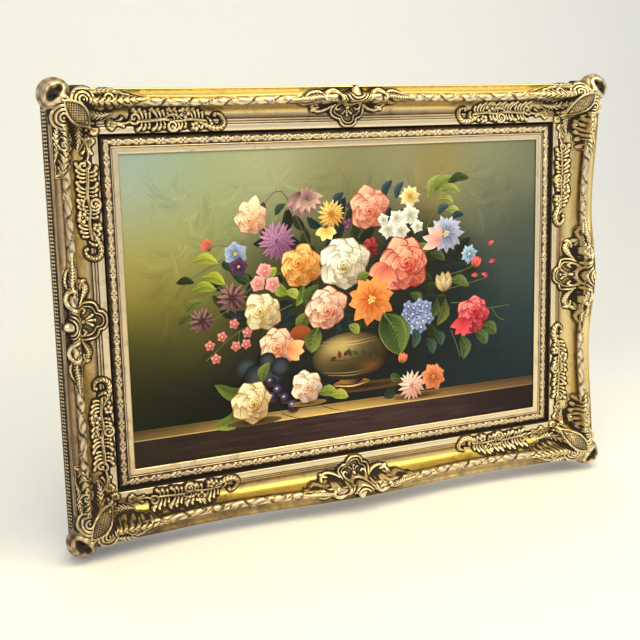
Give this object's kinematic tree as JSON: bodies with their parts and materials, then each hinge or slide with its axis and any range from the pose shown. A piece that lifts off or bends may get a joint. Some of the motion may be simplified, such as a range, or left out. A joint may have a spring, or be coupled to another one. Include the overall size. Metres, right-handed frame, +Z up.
{
  "type": "framed oil painting",
  "caption": "Oil painting of flowers in a vase on stretched canvas, in a wide swept gilt frame with cast scroll, leaf and shield ornament at its corners and centres.",
  "frame": {"origin": "centre of the flat back face of the top rail, where it rests against the wall", "axes": "+X to the right of someone facing the picture, +Y into the wall, +Z up"},
  "size_m": [1.1834, 0.0965, 0.8752],
  "materials": {
    "frame_gilt": "carved wood, gilded in a worn champagne gold with dark brown patina in the hollows",
    "slip_gilt": "carved wood slip, pale champagne gold leaf with dark patina in the leaf band",
    "ornament_gilt": "cast composition, gilded and toned dark brown in the recesses",
    "painted_canvas": "oil paint on primed linen, lightly varnished",
    "bare_wood": "plain pine stretcher bars"
  },
  "bodies": {
    "root": {"bar_bottom": "bare_wood", "bar_left": "bare_wood", "bar_right": "bare_wood", "bar_top": "bare_wood", "canvas": "painted_canvas", "cartouche_bottom": "ornament_gilt", "cartouche_left": "ornament_gilt", "cartouche_right": "ornament_gilt", "cartouche_top": "ornament_gilt", "corner_bl": "ornament_gilt", "corner_br": "ornament_gilt", "corner_tl": "ornament_gilt", "corner_tr": "ornament_gilt", "foliage_bottom_left": "ornament_gilt", "foliage_bottom_right": "ornament_gilt", "foliage_left_lower": "ornament_gilt", "foliage_left_upper": "ornament_gilt", "foliage_right_lower": "ornament_gilt", "foliage_right_upper": "ornament_gilt", "foliage_top_left": "ornament_gilt", "foliage_top_right": "ornament_gilt", "liner_bottom": "slip_gilt", "liner_left": "slip_gilt", "liner_right": "slip_gilt", "liner_top": "slip_gilt", "rail_bottom": "frame_gilt", "rail_left": "frame_gilt", "rail_right": "frame_gilt", "rail_top": "frame_gilt"}
  },
  "joints": []
}
